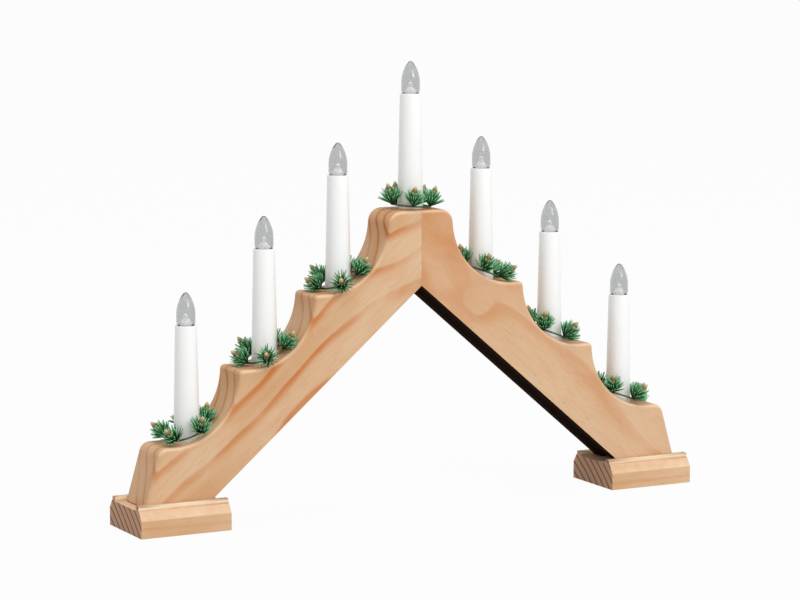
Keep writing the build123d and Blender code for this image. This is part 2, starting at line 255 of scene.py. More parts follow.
def add_sockets(tree, inputs=(), outputs=()):
    """Named sockets of a node group: (name, kind) or (name, kind, default)."""
    for name, kind, *default in inputs:
        socket = tree.interface.new_socket(name=name, in_out="INPUT", socket_type="NodeSocket" + kind)
        if default:
            socket.default_value = default[0]
    for name, kind in outputs:
        tree.interface.new_socket(name=name, in_out="OUTPUT", socket_type="NodeSocket" + kind)
    return tree.nodes.new("NodeGroupInput").outputs, tree.nodes.new("NodeGroupOutput").inputs


def new_material(name):
    """An empty material with a Principled shader on its output."""
    material = bpy.data.materials.new(name)
    material.use_nodes = True
    tree = material.node_tree
    tree.nodes.clear()
    shader = tree.nodes.new("ShaderNodeBsdfPrincipled")
    out = tree.nodes.new("ShaderNodeOutputMaterial")
    tree.links.new(shader.outputs["BSDF"], out.inputs["Surface"])
    return material, tree, shader


def object_vector(tree, rotation=(0.0, 0.0, 0.0)):
    """Object coordinates in millimetres, turned by a Mapping node."""
    source = put(tree, "ShaderNodeTexCoord").outputs["Object"]
    values = {"Vector": source, "Rotation": rotation, "Scale": (1 / MM,) * 3}
    return put(tree, "ShaderNodeMapping", values).outputs["Vector"]


def set_bump(tree, shader, height, strength, distance):
    """Wire a height to the shader's normal."""
    values = {"Height": height, "Strength": strength, "Distance": distance}
    tree.links.new(put(tree, "ShaderNodeBump", values).outputs["Normal"], shader.inputs["Normal"])


# Shared effects


def pine_figure():
    """Group that gives the growth rings, clouds, fibres and flecks of a pine board.

    Its vector is in millimetres with X along the grain. The rings lie round a pith line along X,
    and a soft noise bends them. An eye is a place where they bulge into an oval figure."""
    name = "pine figure"
    if name in bpy.data.node_groups:
        return bpy.data.node_groups[name]
    tree = bpy.data.node_groups.new(name, "ShaderNodeTree")
    inputs = [("Vector", "Vector"), ("Shift", "Vector"), ("Ring Width", "Float", 9.0), ("Pith", "Vector"),
              ("Warp", "Float", 14.0), ("Rise", "Float", 0.3), ("Evenness", "Float", 0.15),
              ("Eye Place", "Vector"), ("Eye Reach", "Vector"), ("Eye Strength", "Float", 0.0)]
    outputs = [(key, "Float") for key in ("Ring", "Cloud", "Fibre", "Fleck", "Height")]
    given, result = add_sockets(tree, inputs, outputs)
    place = given["Vector"]
    shifted = vector_calc(tree, "ADD", place, given["Shift"])
    slow = vector_calc(tree, "MULTIPLY", shifted, (0.009, 0.028, 0.028))
    bend = vector_calc(tree, "SUBTRACT", noise(tree, slow, 1.0, 2.0, 0.45).outputs["Color"], (0.5, 0.5, 0.5))
    reach = vector_of(tree, Y=given["Warp"], Z=given["Warp"])
    bent = vector_calc(tree, "ADD", place, vector_calc(tree, "MULTIPLY", bend, reach))
    from_pith = vector_calc(tree, "SUBTRACT", bent, given["Pith"])
    from_pith = vector_calc(tree, "MULTIPLY", from_pith, (0.0, 1.0, 1.0))
    radius = calc(tree, "DIVIDE", vector_value(tree, "LENGTH", from_pith), given["Ring Width"])
    from_eye = vector_calc(tree, "SUBTRACT", bent, given["Eye Place"])
    from_eye = vector_calc(tree, "DIVIDE", from_eye, given["Eye Reach"])
    eye_square = vector_value(tree, "DOT_PRODUCT", from_eye, from_eye)
    eye_fade = calc(tree, "EXPONENT", times(tree, eye_square, -1.0))
    count = calc(tree, "MULTIPLY_ADD", eye_fade, given["Eye Strength"], radius)
    phase = calc(tree, "FRACT", count)
    rise = smooth_step(tree, phase, given["Rise"], 0.88)
    fall = smooth_step(tree, phase, 1.0, 0.9)
    wide = vector_calc(tree, "MULTIPLY", shifted, (0.008, 0.022, 0.022))
    cloud = noise(tree, wide, 1.6, 3.0).outputs["Fac"]
    strength = calc(tree, "MAXIMUM", smooth_step(tree, cloud, 0.25, 0.7), given["Evenness"])
    ring = times(tree, times(tree, rise, fall), strength)
    tree.links.new(ring, result["Ring"])
    tree.links.new(cloud, result["Cloud"])
    fine = vector_calc(tree, "MULTIPLY", bent, (0.03, 1.1, 1.1))
    fibre = noise(tree, fine, 1.0, 4.0, 0.6).outputs["Fac"]
    tree.links.new(fibre, result["Fibre"])
    dashes = vector_calc(tree, "MULTIPLY", bent, (0.12, 1.9, 1.9))
    fleck = smooth_step(tree, noise(tree, dashes, 1.0, 1.0).outputs["Fac"], 0.66, 0.76)
    tree.links.new(fleck, result["Fleck"])
    tree.links.new(calc(tree, "MULTIPLY_ADD", phase, 0.25, fibre), result["Height"])
    return tree


def moulded_grain():
    """Group that gives the soft mottle and fine grain of a moulded surface."""
    name = "moulded grain"
    if name in bpy.data.node_groups:
        return bpy.data.node_groups[name]
    tree = bpy.data.node_groups.new(name, "ShaderNodeTree")
    given, result = add_sockets(tree, [("Vector", "Vector"), ("Grain", "Float", 2.0)],
                                [("Mottle", "Float"), ("Grain", "Float")])
    tree.links.new(noise(tree, given["Vector"], 0.08, 3.0).outputs["Fac"], result["Mottle"])
    tree.links.new(noise(tree, given["Vector"], given["Grain"], 2.0).outputs["Fac"], result["Grain"])
    return tree


# Finishes


def pine(name, wood, turn, figure, tan_share, ring_share, end_share, end_colour, end_mix):
    """Lacquered pine whose grain runs along X after a turn about Y, with its board's own figure."""
    material, tree, shader = new_material(name)
    group = put(tree, "ShaderNodeGroup", node_tree=pine_figure())
    tree.links.new(object_vector(tree, rotation=(0.0, turn, 0.0)), group.inputs["Vector"])
    for key, value in figure.items():
        group.inputs[key].default_value = value
    out = group.outputs
    normal = put(tree, "ShaderNodeTexCoord").outputs["Normal"]
    across = calc(tree, "ABSOLUTE", vector_value(tree, "DOT_PRODUCT", normal, (cos(turn), 0.0, sin(turn))))
    end_mask = smooth_step(tree, across, 0.35, 0.95)
    clouded = times(tree, smooth_step(tree, out["Cloud"], 0.3, 0.75), tan_share)
    base = mixed(tree, clouded, rgba(wood.pale), rgba(wood.tan))
    base = mixed(tree, times(tree, end_mask, end_mix), base, rgba(end_colour))
    colour = mixed(tree, times(tree, out["Ring"], ring_share), base, rgba(wood.late))
    end_ring = times(tree, times(tree, out["Ring"], end_mask), end_share)
    colour = mixed(tree, end_ring, colour, rgba(wood.end))
    fibre = times(tree, smooth_step(tree, out["Fibre"], 0.45, 0.75), 0.2)
    colour = mixed(tree, fibre, colour, rgba(wood.late))
    colour = mixed(tree, times(tree, out["Fleck"], 0.22), colour, rgba(wood.end))
    tree.links.new(colour, shader.inputs["Base Color"])
    tree.links.new(calc(tree, "MULTIPLY_ADD", out["Fibre"], 0.2, 0.36), shader.inputs["Roughness"])
    shader.inputs["Specular IOR Level"].default_value = 0.0
    shader.inputs["Coat Weight"].default_value = PINE_COAT
    shader.inputs["Coat Roughness"].default_value = 0.3
    set_bump(tree, shader, out["Height"], 0.12, 0.0003)
    return material


def recoloured(material, mask, colour):
    """Lay a colour over a finish where a mask says so."""
    tree = material.node_tree
    shader = tree.nodes["Principled BSDF"]
    before = shader.inputs["Base Color"].links[0].from_socket
    tree.links.new(mixed(tree, mask, before, rgba(colour)), shader.inputs["Base Color"])
    return material


def darkened_below(material, turn, wood):
    """Darken the slanted underside of a leg and its cover's rebate, with no lacquer there."""
    tree = material.node_tree
    normal = put(tree, "ShaderNodeTexCoord").outputs["Normal"]
    facing = vector_value(tree, "DOT_PRODUCT", normal, (sin(turn), 0.0, -cos(turn)))
    place = split(tree, object_vector(tree, rotation=(0.0, turn, 0.0)))
    rebate = UNDERSIDE_LINE + REBATE_DEPTH
    low = smooth_step(tree, place["Z"], rebate + 0.8, rebate + 0.4)
    inside = smooth_step(tree, calc(tree, "ABSOLUTE", place["Y"]), REBATE_HALF + 0.6, REBATE_HALF + 0.2)
    mask = calc(tree, "MAXIMUM", smooth_step(tree, facing, 0.9, 0.98), times(tree, low, inside))
    coat = calc(tree, "MULTIPLY_ADD", mask, -PINE_COAT, PINE_COAT)
    tree.links.new(coat, tree.nodes["Principled BSDF"].inputs["Coat Weight"])
    return recoloured(material, mask, wood.underside_dark)


def warmed(material, turn, hot, cool, wood):
    """Lay orange patches over a board, from full at one place along its grain to none at another."""
    tree = material.node_tree
    place = object_vector(tree, rotation=(0.0, turn, 0.0))
    along = split(tree, place)["X"]
    slow = vector_calc(tree, "MULTIPLY", place, (0.03, 0.05, 0.06))
    patch = smooth_step(tree, noise(tree, slow, 1.0, 2.0).outputs["Fac"], 0.3, 0.7)
    share = calc(tree, "MULTIPLY_ADD", patch, 0.55, 0.35)
    return recoloured(material, times(tree, smooth_step(tree, along, cool, hot), share), wood.warm)


def painted_edge_highlights(material, share, wood):
    """Paint pale highlights on the rounded edges that face up along a board's sides, where light from above
    falls.
    """
    tree = material.node_tree
    normal = put(tree, "ShaderNodeTexCoord").outputs["Normal"]
    parts = split(tree, normal)
    across = times(tree, parts["Y"], parts["Y"])
    slanted = times(tree, times(tree, across, calc(tree, "SUBTRACT", 1.0, across)), 4.0)
    upward = smooth_step(tree, parts["Z"], 0.15, 0.6)
    mask = times(tree, times(tree, slanted, upward), share)
    return recoloured(material, mask, wood.edge_highlight)


def painted_highlight_above(material, start, end, share, wood):
    """Paint a foot paler above a height, but not on its ends: a painted highlight, made patchy by noise."""
    tree = material.node_tree
    height = split(tree, object_vector(tree))["Z"]
    normal = put(tree, "ShaderNodeTexCoord").outputs["Normal"]
    endwise = split(tree, normal)["X"]
    side = smooth_step(tree, calc(tree, "ABSOLUTE", endwise), 0.7, 0.4)
    highlight_noise = noise(tree, object_vector(tree), 0.15, 2.0).outputs["Fac"]
    amount = times(tree, side, calc(tree, "MULTIPLY_ADD", highlight_noise, 0.5, share))
    mask = times(tree, smooth_step(tree, height, start, end), amount)
    return recoloured(material, mask, wood.edge_highlight)


def moulded(name, colour, shade, grain=2.0, rough=0.35, bump=0.05):
    """Moulded plastic with a soft mottle between a colour and a slightly darker shade of it."""
    material, tree, shader = new_material(name)
    group = put(tree, "ShaderNodeGroup", node_tree=moulded_grain())
    tree.links.new(object_vector(tree), group.inputs["Vector"])
    group.inputs["Grain"].default_value = grain
    darker = tuple(part * shade for part in colour)
    base = mixed(tree, group.outputs["Mottle"], rgba(colour), rgba(darker))
    tree.links.new(base, shader.inputs["Base Color"])
    roughness = calc(tree, "MULTIPLY_ADD", group.outputs["Grain"], 0.1, rough - 0.05)
    tree.links.new(roughness, shader.inputs["Roughness"])
    set_bump(tree, shader, group.outputs["Grain"], bump, 0.0001)
    return material


def metal(name, colour, shade, rough):
    """Worked metal with a soft tarnish."""
    material = moulded(name, colour, shade, grain=6.0, rough=rough, bump=0.03)
    material.node_tree.nodes["Principled BSDF"].inputs["Metallic"].default_value = 1.0
    return material


def painted_glow(material, strength):
    """Paint light into a finish: it gives off a little light of its own colour, standing in for light that
    falls on it.
    """
    tree = material.node_tree
    shader = tree.nodes["Principled BSDF"]
    tree.links.new(shader.inputs["Base Color"].links[0].from_socket, shader.inputs["Emission Color"])
    shader.inputs["Emission Strength"].default_value = strength
    return material


def clear(name, see_through_colour):
    """Clear moulded plastic that colours what is seen through it; on a lamp's outside that colour is painted
    grey shade.
    """
    material = moulded(name, see_through_colour, 0.97, grain=0.5, rough=0.055, bump=0.002)
    shader = material.node_tree.nodes["Principled BSDF"]
    shader.inputs["Transmission Weight"].default_value = 1.0
    shader.inputs["IOR"].default_value = 1.42
    return material


def along_finish(name, stops, rough):
    """Finish whose colour follows the piece's own along value, with a shade for each strand."""
    material, tree, shader = new_material(name)
    along = put(tree, "ShaderNodeAttribute", attribute_name="along").outputs["Fac"]
    strand = put(tree, "ShaderNodeAttribute", attribute_name="strand").outputs["Fac"]
    ramp = put(tree, "ShaderNodeValToRGB", {"Fac": along})
    elements = ramp.color_ramp.elements
    elements[0].position, elements[0].color = stops[0][0], rgba(stops[0][1])
    elements[1].position, elements[1].color = stops[-1][0], rgba(stops[-1][1])
    for place, colour in stops[1:-1]:
        elements.new(place).color = rgba(colour)
    darker = mixed(tree, 1.0, ramp.outputs["Color"], (0.22, 0.3, 0.27, 1.0), "MULTIPLY")
    speckle = noise(tree, object_vector(tree), 1.4, 2.0).outputs["Fac"]
    share = calc(tree, "MULTIPLY_ADD", speckle, 0.4, times(tree, strand, 0.6))
    tree.links.new(mixed(tree, share, ramp.outputs["Color"], darker), shader.inputs["Base Color"])
    tree.links.new(calc(tree, "MULTIPLY_ADD", speckle, 0.15, rough), shader.inputs["Roughness"])
    set_bump(tree, shader, speckle, 0.1, 0.0001)
    return material


# Pieces


def finished(piece, body, nodes):
    """Ride a piece on its body, in place of its CAD nodes."""
    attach(piece, body)
    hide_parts(*nodes)
    return piece


def new_object(name, mesh):
    """An object at the origin that shows a mesh."""
    piece = bpy.data.objects.new(name, mesh)
    bpy.context.scene.collection.objects.link(piece)
    return piece


def plain_mesh(piece):
    """Turn a piece with its modifiers into a plain mesh."""
    graph = bpy.context.evaluated_depsgraph_get()
    mesh = bpy.data.meshes.new_from_object(piece.evaluated_get(graph))
    piece.modifiers.clear()
    piece.data = mesh
    mesh.name = piece.name
    return piece


def dress(node, material):
    """Give a CAD node that stays in view its finish."""
    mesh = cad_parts[node].data
    mesh.materials.clear()
    mesh.materials.append(material)


def copied(name, node, material):
    """A piece of its own with a CAD node's mesh and a finish."""
    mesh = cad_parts[node].data.copy()
    mesh.name = name
    mesh.materials.clear()
    mesh.materials.append(material)
    return new_object(name, mesh)


def let_in(leg, sign, top, depth):
    """Lengthen a leg down into its foot's groove, along the slants of its heel and its toe."""
    low = [vertex for vertex in leg.data.vertices if vertex.co.z < top + 0.01 * MM]
    heel = min(abs(vertex.co.x) for vertex in low)
    toe = max(abs(vertex.co.x) for vertex in low)
    for vertex in low:
        share = (abs(vertex.co.x) - heel) / (toe - heel)
        run = (1.0 - share) / tan(LEG_SLOPE) + share * tan(TOE_SLANT)
        vertex.co += Vector((sign * run * depth, 0.0, -depth))
    return leg


def grooved(piece, low, high):
    """Cut the box between two corners out of a piece."""
    work = bmesh.new()
    bmesh.ops.create_cube(work, size=1.0)
    for vertex in work.verts:
        vertex.co = [start if place < 0.0 else end for place, start, end in zip(vertex.co, low, high)]
    mesh = bpy.data.meshes.new("cutter")
    work.to_mesh(mesh)
    work.free()
    cutter = new_object("cutter", mesh)
    cut = piece.modifiers.new("groove", "BOOLEAN")
    cut.operation = "DIFFERENCE"
    cut.solver = "EXACT"
    cut.object = cutter
    plain_mesh(piece)
    bpy.data.objects.remove(cutter)
    piece.data.shade_smooth()
    piece.data.set_sharp_from_angle(angle=radians(30.0))
    return piece


def rounded(outline, radius, steps=3):
    """An outline with its inner corners cut back by a small curve."""
    points = [outline[0]]
    for before, corner, after in zip(outline, outline[1:], outline[2:]):
        here = Vector(corner)
        to_before = Vector(before) - here
        to_after = Vector(after) - here
        cut = min(radius, 0.45 * to_before.length, 0.45 * to_after.length)
        start = here + to_before.normalized() * cut
        end = here + to_after.normalized() * cut
        for step in range(steps + 1):
            t = step / steps
            points.append(tuple((1 - t) ** 2 * start + 2 * t * (1 - t) * here + t * t * end))
    points.append(outline[-1])
    return points


def turn_about(work, outline, place, segments, material=0):
    """Add a shape turned about a vertical line to a mesh. An outline that ends where it starts is a ring."""
    closed = outline[0] == outline[-1]
    rings = []
    for radius, height in outline[:-1] if closed else outline:
        if radius < 0.001 * MM:
            rings.append([work.verts.new((place[0], place[1], place[2] + height))])
            continue
        corners = []
        for index in range(segments):
            angle = tau * index / segments
            corners.append(work.verts.new((place[0] + radius * cos(angle), place[1] + radius * sin(angle),
                                           place[2] + height)))
        rings.append(corners)
    pairs = list(zip(rings, rings[1:]))
    if closed:
        pairs.append((rings[-1], rings[0]))
    faces = []
    for low, high in pairs:
        for index in range(segments):
            after = (index + 1) % segments
            loop = [low[index % len(low)], low[after % len(low)]]
            loop += [high[after % len(high)], high[index % len(high)]]
            loop = list(dict.fromkeys(loop))
            if len(loop) > 2:
                face = work.faces.new(loop)
                face.material_index = material
                faces.append(face)
    bmesh.ops.recalc_face_normals(work, faces=faces)


def turned_piece(name, shapes, place, materials, segments=64, angle=40.0):
    """A piece made of one or more turned outlines, each with its material's number."""
    work = bmesh.new()
    for outline, number in shapes:
        turn_about(work, outline, place, segments, number)
    mesh = bpy.data.meshes.new(name)
    work.to_mesh(mesh)
    work.free()
    for material in materials:
        mesh.materials.append(material)
    mesh.shade_smooth()
    mesh.set_sharp_from_angle(angle=radians(angle))
    return new_object(name, mesh)


def ring_outline(points, radius):
    """A closed outline of rounded corners from its corner points."""
    middle = ((points[0][0] + points[1][0]) / 2, (points[0][1] + points[1][1]) / 2)
    outline = rounded([middle] + points[1:] + [points[0], middle], radius)
    return outline[:-1] + [outline[0]]


def run_tree(name, tree, values, mesh=None):
    """A plain mesh piece made by a geometry tree with these input values."""
    piece = new_object(name, mesh or bpy.data.meshes.new(name))
    shape = piece.modifiers.new("shape", "NODES")
    shape.node_group = tree
    for item in tree.interface.items_tree:
        if item.item_type == "SOCKET" and item.in_out == "INPUT" and item.name in values:
            shape[item.identifier] = values[item.name]
    return plain_mesh(piece)


# Geometry trees


def random_value(tree, low, high, seed):
    """A random number for each point."""
    node = put(tree, "FunctionNodeRandomValue", {2: low, 3: high, "Seed": seed}, data_type="FLOAT")
    return node.outputs[1]


def stored(tree, geometry, name, value, domain="POINT"):
    """Geometry with a named value on it."""
    values = {"Geometry": geometry, "Name": name, "Value": value}
    node = put(tree, "GeometryNodeStoreNamedAttribute", values, data_type="FLOAT", domain=domain)
    return node.outputs["Geometry"]


def joined(tree, *parts):
    """Several geometries as one."""
    node = tree.nodes.new("GeometryNodeJoinGeometry")
    for part in parts:
        tree.links.new(part, node.inputs["Geometry"])
    return node.outputs["Geometry"]


def euler(tree, x=0.0, y=0.0, z=0.0):
    """A rotation from three angles."""
    angles = vector_of(tree, X=x, Y=y, Z=z)
    return put(tree, "FunctionNodeEulerToRotation", {"Euler": angles}).outputs["Rotation"]


def on_points(tree, points, shape, rotation, scale=(1.0, 1.0, 1.0)):
    """A shape set on each point."""
    values = {"Points": points, "Instance": shape, "Rotation": rotation, "Scale": scale}
    return put(tree, "GeometryNodeInstanceOnPoints", values).outputs["Instances"]


def sprig_seats(tree, given):
    """Points round a wreath's ring, and the turn of the sprig on each.

    A sprig stands out from the ring at its elevation. Towards the front it droops."""
    number = put(tree, "GeometryNodeInputIndex").outputs[0]
    spacing = calc(tree, "DIVIDE", tau, given["Sprigs"])
    yaw = calc(tree, "MULTIPLY_ADD", number, spacing, given["Turn"])
    front = calc(tree, "MAXIMUM", times(tree, calc(tree, "SINE", yaw), -1.0), 0.0)
    upright = calc(tree, "SUBTRACT", pi / 2, given["Elevation"])
    lean = calc(tree, "MULTIPLY_ADD", front, given["Droop"], upright)
    lean = calc(tree, "ADD", lean, random_value(tree, -0.12, 0.12, given["Seed"]))
    x = times(tree, calc(tree, "COSINE", yaw), given["Ring Radius"])
    y = times(tree, calc(tree, "SINE", yaw), given["Ring Radius"])
    place = vector_of(tree, X=x, Y=y)
    points = put(tree, "GeometryNodePoints", {"Count": given["Sprigs"], "Position": place}).outputs[0]
    return points, euler(tree, y=lean, z=yaw)


SEAT_INPUTS = [("Sprigs", "Int", 5), ("Turn", "Float"), ("Elevation", "Float"), ("Droop", "Float"),
               ("Ring Radius", "Float"), ("Place", "Vector"), ("Tilt", "Float"), ("Seed", "Int")]


def seated(tree, given, geometry):
    """A wreath laid at its place, tilted about Y."""
    tilt = vector_of(tree, Y=given["Tilt"])
    values = {"Geometry": geometry, "Translation": given["Place"], "Rotation": tilt}
    laid = put(tree, "GeometryNodeTransform", values).outputs["Geometry"]
    return put(tree, "GeometryNodeRealizeInstances", {"Geometry": laid}).outputs["Geometry"]


def with_material(tree, geometry, material):
    """Geometry with one material, softly shaded."""
    soft = put(tree, "GeometryNodeSetShadeSmooth", {"Geometry": geometry}).outputs["Geometry"]
    node = put(tree, "GeometryNodeSetMaterial", {"Geometry": soft, "Material": material})
    return node.outputs["Geometry"]


def kept_clear(tree, given, geometry):
    """Needles pushed off the candle's sleeve and off the wood under and behind it."""
    here = put(tree, "GeometryNodeInputPosition").outputs[0]
    axis = vector_of(tree, X=given["Axis"])
    flat = vector_calc(tree, "MULTIPLY", vector_calc(tree, "SUBTRACT", here, axis), (1.0, 1.0, 0.0))
    reach = calc(tree, "MAXIMUM", vector_value(tree, "LENGTH", flat), 0.0001)
    grow = calc(tree, "MAXIMUM", calc(tree, "DIVIDE", given["Sleeve Radius"], reach), 1.0)
    scaled = put(tree, "ShaderNodeVectorMath", {0: flat, "Scale": grow}, operation="SCALE").outputs["Vector"]
    out = vector_calc(tree, "SUBTRACT", scaled, flat)
    moved = put(tree, "GeometryNodeSetPosition", {"Geometry": geometry, "Offset": out}).outputs["Geometry"]
    here = split(tree, put(tree, "GeometryNodeInputPosition").outputs[0])
    inward = times(tree, calc(tree, "SUBTRACT", given["Cove X"], here["X"]), given["Side"])
    inward = calc(tree, "MAXIMUM", inward, 0.0)
    height = calc(tree, "ADD", given["Land"], COVE_RADIUS)
    down = calc(tree, "MAXIMUM", calc(tree, "SUBTRACT", height, here["Z"]), 0.0)
    depth = vector_of(tree, X=inward, Z=down)
    length = calc(tree, "MAXIMUM", vector_value(tree, "LENGTH", depth), 0.0001)
    share = calc(tree, "MINIMUM", calc(tree, "DIVIDE", COVE_RADIUS - 0.4 * MM, length), 1.0)
    back = calc(tree, "SUBTRACT", 1.0, share)
    push_x = times(tree, times(tree, inward, back), given["Side"])
    push_z = times(tree, down, back)
    push = vector_of(tree, X=push_x, Z=push_z)
    return put(tree, "GeometryNodeSetPosition", {"Geometry": moved, "Offset": push}).outputs["Geometry"]


def needle_wreath_tree(needle_green, wire_green):
    """Tree of a wreath: a wire ring and sprigs, each a cup of needles in whorls."""
    tree = bpy.data.node_groups.new("needle wreath", "GeometryNodeTree")
    lengths = ("Needle Length", "Needle Width", "Wire", "Axis", "Sleeve Radius", "Land", "Cove X", "Side")
    inputs = SEAT_INPUTS + [("Whorls", "Int", 3), ("Needles", "Int", 26)]
    inputs += [(key, "Float") for key in lengths]
    given, result = add_sockets(tree, inputs, [("Geometry", "Geometry")])
    length = given["Needle Length"]
    half = times(tree, given["Needle Width"], 0.5)
    cone = {"Vertices": 4, "Side Segments": 4, "Radius Top": times(tree, half, 0.4),
            "Radius Bottom": half, "Depth": length}
    needle = put(tree, "GeometryNodeMeshCone", cone).outputs["Mesh"]
    height = split(tree, put(tree, "GeometryNodeInputPosition").outputs[0])["Z"]
    along = calc(tree, "DIVIDE", height, length)
    needle = stored(tree, needle, "along", along)
    curl = times(tree, times(tree, times(tree, along, along), length), -0.07)
    bend = vector_of(tree, X=curl)
    needle = put(tree, "GeometryNodeSetPosition", {"Geometry": needle, "Offset": bend}).outputs["Geometry"]
    index = put(tree, "GeometryNodeInputIndex").outputs[0]
    whorl = calc(tree, "FLOOR", calc(tree, "DIVIDE", index, given["Needles"]))
    step = calc(tree, "DIVIDE", tau, given["Needles"])
    jitter = random_value(tree, -0.09, 0.09, given["Seed"])
    yaw = calc(tree, "ADD", times(tree, index, step), jitter)
    yaw = calc(tree, "MULTIPLY_ADD", whorl, times(tree, step, 0.38), yaw)
    lean = calc(tree, "MULTIPLY_ADD", whorl, radians(-15.0), radians(56.0))
    lean = calc(tree, "ADD", lean, random_value(tree, -0.1, 0.1, given["Seed"]))
    rise = vector_of(tree, Z=calc(tree, "MULTIPLY_ADD", whorl, 0.6 * MM, 0.9 * MM))
    count = times(tree, given["Needles"], given["Whorls"])
    roots = put(tree, "GeometryNodePoints", {"Count": count, "Position": rise}).outputs[0]
    size = random_value(tree, 0.86, 1.04, given["Seed"])
    size = vector_of(tree, X=1.0, Y=1.0, Z=size)
    needles = on_points(tree, roots, needle, euler(tree, y=lean, z=yaw), size)
    needles = stored(tree, needles, "strand", random_value(tree, 0.0, 1.0, given["Seed"]), "INSTANCE")
    # The cup in the middle takes the needles' dark root colour, painted shade too
    cup = {"Vertices": 10, "Side Segments": 1, "Radius Top": 2.3 * MM, "Radius Bottom": 0.8 * MM,
           "Depth": 6.0 * MM}
    sprig = joined(tree, needles, put(tree, "GeometryNodeMeshCone", cup).outputs["Mesh"])
    points, turn = sprig_seats(tree, given)
    sprigs = seated(tree, given, on_points(tree, points, sprig, turn))
    sprigs = with_material(tree, kept_clear(tree, given, sprigs), needle_green)
    line = put(tree, "GeometryNodeCurvePrimitiveCircle", {"Resolution": 72, "Radius": given["Ring Radius"]})
    section = {"Resolution": 10, "Radius": times(tree, given["Wire"], 0.5)}
    section = put(tree, "GeometryNodeCurvePrimitiveCircle", section).outputs["Curve"]
    values = {"Curve": line.outputs["Curve"], "Profile Curve": section}
    ring = put(tree, "GeometryNodeCurveToMesh", values).outputs["Mesh"]
    ring = with_material(tree, seated(tree, given, ring), wire_green)
    tree.links.new(joined(tree, sprigs, ring), result["Geometry"])
    return tree


def bud_tree(bud_finish):
    """Tree of a wreath's buds: each a core with rows of pointed scales laid up to its tip."""
    tree = bpy.data.node_groups.new("wreath buds", "GeometryNodeTree")
    inputs = SEAT_INPUTS + [("Bud Length", "Float"), ("Bud Width", "Float"), ("Bud Start", "Float")]
    given, result = add_sockets(tree, inputs, [("Geometry", "Geometry")])
    length = given["Bud Length"]
    half = times(tree, given["Bud Width"], 0.5)
    ball = {"Segments": 14, "Rings": 10, "Radius": times(tree, length, 0.5)}
    core = put(tree, "GeometryNodeMeshUVSphere", ball).outputs["Mesh"]
    here = split(tree, put(tree, "GeometryNodeInputPosition").outputs[0])
    height = calc(tree, "MULTIPLY_ADD", length, 0.5, here["Z"])
    along = calc(tree, "DIVIDE", height, length)
    core = stored(tree, core, "along", along)
    slim = calc(tree, "MULTIPLY_ADD", along, -0.55, 1.12)
    width = times(tree, calc(tree, "DIVIDE", given["Bud Width"], length), slim)
    x = times(tree, here["X"], width)
    y = times(tree, here["Y"], width)
    shaped = vector_of(tree, X=x, Y=y, Z=height)
    core = put(tree, "GeometryNodeSetPosition", {"Geometry": core, "Position": shaped}).outputs["Geometry"]
    index = put(tree, "GeometryNodeInputIndex").outputs[0]
    scale_count = 34
    share = calc(tree, "DIVIDE", index, float(scale_count))
    yaw = times(tree, index, radians(137.5))
    radius = calc(tree, "SINE", calc(tree, "MULTIPLY_ADD", share, pi * 0.62, pi * 0.3))
    radius = times(tree, times(tree, radius, half), 0.86)
    x = times(tree, calc(tree, "COSINE", yaw), radius)
    y = times(tree, calc(tree, "SINE", yaw), radius)
    z = times(tree, calc(tree, "MULTIPLY_ADD", share, 0.66, 0.08), length)
    place = vector_of(tree, X=x, Y=y, Z=z)
    points = put(tree, "GeometryNodePoints", {"Count": scale_count, "Position": place}).outputs[0]
    cone = {"Vertices": 5, "Side Segments": 2, "Radius Top": 0.06 * MM, "Radius Bottom": 0.62 * MM,
            "Depth": 2.4 * MM}
    scale = put(tree, "GeometryNodeMeshCone", cone).outputs["Mesh"]
    lean = calc(tree, "MULTIPLY_ADD", share, radians(-34.0), radians(24.0))
    scales = on_points(tree, points, scale, euler(tree, y=lean, z=yaw), (0.5, 1.0, 1.0))
    scales = stored(tree, scales, "along", calc(tree, "MULTIPLY_ADD", share, 0.8, 0.06), "INSTANCE")
    scales = stored(tree, scales, "strand", random_value(tree, 0.0, 1.0, given["Seed"]), "INSTANCE")
    lift = vector_of(tree, Z=given["Bud Start"])
    values = {"Geometry": joined(tree, core, scales), "Translation": lift}
    bud = put(tree, "GeometryNodeTransform", values).outputs["Geometry"]
    seats, turn = sprig_seats(tree, given)
    buds = seated(tree, given, on_points(tree, seats, bud, turn))
    tree.links.new(with_material(tree, buds, bud_finish), result["Geometry"])
    return tree


def thread_tree(brass):
    """Tree that winds a rolled thread round a cap and joins it to the cap's own mesh."""
    tree = bpy.data.node_groups.new("cap thread", "GeometryNodeTree")
    inputs = [("Geometry", "Geometry"), ("Radius", "Float"), ("Pitch", "Float"), ("Turns", "Float"),
              ("Place", "Vector")]
    given, result = add_sockets(tree, inputs, [("Geometry", "Geometry")])
    values = {"Resolution": 32, "Rotations": given["Turns"], "Start Radius": given["Radius"],
              "End Radius": given["Radius"], "Height": times(tree, given["Pitch"], given["Turns"])}
    line = put(tree, "GeometryNodeCurveSpiral", values).outputs["Curve"]
    section = {"Resolution": 8, "Radius": times(tree, given["Pitch"], 0.3)}
    section = put(tree, "GeometryNodeCurvePrimitiveCircle", section).outputs["Curve"]
    values = {"Curve": line, "Profile Curve": section, "Fill Caps": True}
    tube = put(tree, "GeometryNodeCurveToMesh", values).outputs["Mesh"]
    values = {"Geometry": tube, "Translation": given["Place"]}
    laid = put(tree, "GeometryNodeTransform", values).outputs["Geometry"]
    whole = put(tree, "GeometryNodeRealizeInstances", {"Geometry": joined(tree, given["Geometry"], laid)})
    node = put(tree, "GeometryNodeSetMaterial", {"Geometry": whole.outputs["Geometry"], "Material": brass})
    tree.links.new(node.outputs["Geometry"], result["Geometry"])
    return tree


# Operators


